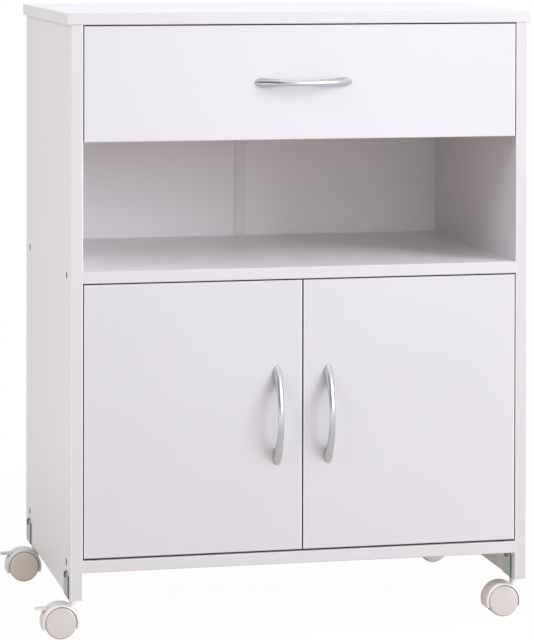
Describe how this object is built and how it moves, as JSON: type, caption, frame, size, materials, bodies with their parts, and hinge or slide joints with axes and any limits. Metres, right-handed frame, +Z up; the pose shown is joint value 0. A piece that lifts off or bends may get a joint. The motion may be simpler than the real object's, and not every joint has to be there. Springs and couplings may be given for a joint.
{
  "type": "printer cabinet",
  "caption": "Low cabinet of white board with a drawer over an open bay, a cupboard with two hinged doors, and twin-wheel castors clamped to the side panels.",
  "frame": {"origin": "on the floor under the middle of the whole object's box, handles and brake levers included", "axes": "+Z up, the front with the drawer and doors faces -Y, +X to the right seen from the front"},
  "size_m": [0.635, 0.421, 0.781],
  "materials": {
    "melamine_board": "white melamine-faced chipboard, satin, edges banded",
    "back_board": "thin white-faced fibreboard",
    "white_plastic": "white moulded plastic",
    "dark_plastic": "black moulded plastic",
    "dark_steel": "black-oxide steel screws",
    "zinc_steel": "zinc-plated steel",
    "white_steel": "white powder-coated sheet steel",
    "satin_metal": "satin nickel on die-cast metal",
    "ivory_plastic": "ivory moulded plastic, smooth",
    "lever_plastic": "ivory moulded plastic"
  },
  "bodies": {
    "carcass": {"top_panel": "melamine_board", "left_side_panel": "melamine_board", "right_side_panel": "melamine_board", "middle_shelf": "melamine_board", "bottom_panel": "melamine_board", "left_back_panel": "back_board", "right_back_panel": "back_board", "back_joint_strip": "white_plastic", "connector_screws": "dark_steel", "cam_connectors": "zinc_steel", "pan_head_screws": "dark_steel", "left_cabinet_rail": "white_steel", "right_cabinet_rail": "white_steel", "hinge_bushes": "dark_plastic", "magnet_catch": "white_plastic", "front_left_clamp": "zinc_steel", "front_right_clamp": "zinc_steel", "rear_left_clamp": "zinc_steel", "rear_right_clamp": "zinc_steel"},
    "left_cabinet_roller": {"left_cabinet_roller": "white_plastic"},
    "right_cabinet_roller": {"right_cabinet_roller": "white_plastic"},
    "drawer": {"drawer_front": "melamine_board", "drawer_left_side": "melamine_board", "drawer_right_side": "melamine_board", "drawer_back": "melamine_board", "drawer_bottom": "back_board", "drawer_handle": "satin_metal", "drawer_fasteners": "zinc_steel", "left_drawer_rail": "white_steel", "right_drawer_rail": "white_steel"},
    "left_drawer_roller": {"left_drawer_roller": "white_plastic"},
    "right_drawer_roller": {"right_drawer_roller": "white_plastic"},
    "left_door": {"left_door": "melamine_board", "left_door_handle": "satin_metal", "left_door_screws": "zinc_steel", "left_door_pins": "zinc_steel", "left_strike_plate": "zinc_steel"},
    "right_door": {"right_door": "melamine_board", "right_door_handle": "satin_metal", "right_door_screws": "zinc_steel", "right_door_pins": "zinc_steel", "right_strike_plate": "zinc_steel"},
    "front_left_castor": {"front_left_hood": "ivory_plastic", "front_left_axle": "zinc_steel"},
    "front_left_wheel_a": {"front_left_wheel_a": "ivory_plastic"},
    "front_left_wheel_b": {"front_left_wheel_b": "ivory_plastic"},
    "front_left_brake_lever": {"front_left_brake_lever": "lever_plastic"},
    "front_right_castor": {"front_right_hood": "ivory_plastic", "front_right_axle": "zinc_steel"},
    "front_right_wheel_a": {"front_right_wheel_a": "ivory_plastic"},
    "front_right_wheel_b": {"front_right_wheel_b": "ivory_plastic"},
    "rear_left_castor": {"rear_left_hood": "ivory_plastic", "rear_left_axle": "zinc_steel"},
    "rear_left_wheel_a": {"rear_left_wheel_a": "ivory_plastic"},
    "rear_left_wheel_b": {"rear_left_wheel_b": "ivory_plastic"},
    "rear_left_brake_lever": {"rear_left_brake_lever": "lever_plastic"},
    "rear_right_castor": {"rear_right_hood": "ivory_plastic", "rear_right_axle": "zinc_steel"},
    "rear_right_wheel_a": {"rear_right_wheel_a": "ivory_plastic"},
    "rear_right_wheel_b": {"rear_right_wheel_b": "ivory_plastic"}
  },
  "joints": [
    {"name": "drawer_slide", "type": "slide", "parent": "carcass", "child": "drawer", "axis": [0, -1, 0], "range_m": [0, 0.28]},
    {"name": "left_cabinet_roller_spin", "type": "hinge", "parent": "carcass", "child": "left_cabinet_roller", "pos_m": [-0.2568, -0.1555, 0.6353], "axis": [1, 0, 0], "continuous": true},
    {"name": "left_drawer_roller_spin", "type": "hinge", "parent": "drawer", "child": "left_drawer_roller", "pos_m": [-0.2568, 0.1655, 0.63485], "axis": [1, 0, 0], "continuous": true},
    {"name": "right_cabinet_roller_spin", "type": "hinge", "parent": "carcass", "child": "right_cabinet_roller", "pos_m": [0.2918, -0.1555, 0.6353], "axis": [1, 0, 0], "continuous": true},
    {"name": "right_drawer_roller_spin", "type": "hinge", "parent": "drawer", "child": "right_drawer_roller", "pos_m": [0.2918, 0.1655, 0.63485], "axis": [1, 0, 0], "continuous": true},
    {"name": "left_door_hinge", "type": "hinge", "parent": "carcass", "child": "left_door", "pos_m": [-0.246, -0.1785, 0.1035], "axis": [0, 0, -1], "range_deg": [0, 100]},
    {"name": "right_door_hinge", "type": "hinge", "parent": "carcass", "child": "right_door", "pos_m": [0.281, -0.1785, 0.1035], "axis": [0, 0, 1], "range_deg": [0, 100]},
    {"name": "front_left_swivel", "type": "hinge", "parent": "carcass", "child": "front_left_castor", "pos_m": [-0.27, -0.1515, 0.044], "axis": [0, 0, 1], "continuous": true},
    {"name": "front_left_wheel_a_spin", "type": "hinge", "parent": "front_left_castor", "child": "front_left_wheel_a", "pos_m": [-0.2865, -0.1515, 0.02], "axis": [0, 1, 0], "continuous": true},
    {"name": "front_left_wheel_b_spin", "type": "hinge", "parent": "front_left_castor", "child": "front_left_wheel_b", "pos_m": [-0.2865, -0.1515, 0.02], "axis": [0, 1, 0], "continuous": true},
    {"name": "front_left_brake", "type": "hinge", "parent": "front_left_castor", "child": "front_left_brake_lever", "pos_m": [-0.2955, -0.1515, 0.037], "axis": [0, -1, 0], "range_deg": [0, 15]},
    {"name": "front_right_swivel", "type": "hinge", "parent": "carcass", "child": "front_right_castor", "pos_m": [0.305, -0.1515, 0.044], "axis": [0, 0, 1], "continuous": true},
    {"name": "front_right_wheel_a_spin", "type": "hinge", "parent": "front_right_castor", "child": "front_right_wheel_a", "pos_m": [0.2885, -0.1515, 0.02], "axis": [0, 1, 0], "continuous": true},
    {"name": "front_right_wheel_b_spin", "type": "hinge", "parent": "front_right_castor", "child": "front_right_wheel_b", "pos_m": [0.2885, -0.1515, 0.02], "axis": [0, 1, 0], "continuous": true},
    {"name": "rear_left_swivel", "type": "hinge", "parent": "carcass", "child": "rear_left_castor", "pos_m": [-0.27, 0.1775, 0.044], "axis": [0, 0, 1], "continuous": true},
    {"name": "rear_left_wheel_a_spin", "type": "hinge", "parent": "rear_left_castor", "child": "rear_left_wheel_a", "pos_m": [-0.2865, 0.1775, 0.02], "axis": [0, 1, 0], "continuous": true},
    {"name": "rear_left_wheel_b_spin", "type": "hinge", "parent": "rear_left_castor", "child": "rear_left_wheel_b", "pos_m": [-0.2865, 0.1775, 0.02], "axis": [0, 1, 0], "continuous": true},
    {"name": "rear_left_brake", "type": "hinge", "parent": "rear_left_castor", "child": "rear_left_brake_lever", "pos_m": [-0.2955, 0.1775, 0.037], "axis": [0, -1, 0], "range_deg": [0, 15]},
    {"name": "rear_right_swivel", "type": "hinge", "parent": "carcass", "child": "rear_right_castor", "pos_m": [0.305, 0.1775, 0.044], "axis": [0, 0, 1], "continuous": true},
    {"name": "rear_right_wheel_a_spin", "type": "hinge", "parent": "rear_right_castor", "child": "rear_right_wheel_a", "pos_m": [0.2885, 0.1775, 0.02], "axis": [0, 1, 0], "continuous": true},
    {"name": "rear_right_wheel_b_spin", "type": "hinge", "parent": "rear_right_castor", "child": "rear_right_wheel_b", "pos_m": [0.2885, 0.1775, 0.02], "axis": [0, 1, 0], "continuous": true}
  ],
  "couplings": [
    {"joint": "left_cabinet_roller_spin", "follows": "drawer_slide", "rad_per_m": 111.11},
    {"joint": "left_drawer_roller_spin", "follows": "drawer_slide", "rad_per_m": 111.11},
    {"joint": "right_cabinet_roller_spin", "follows": "drawer_slide", "rad_per_m": 111.11},
    {"joint": "right_drawer_roller_spin", "follows": "drawer_slide", "rad_per_m": 111.11}
  ]
}
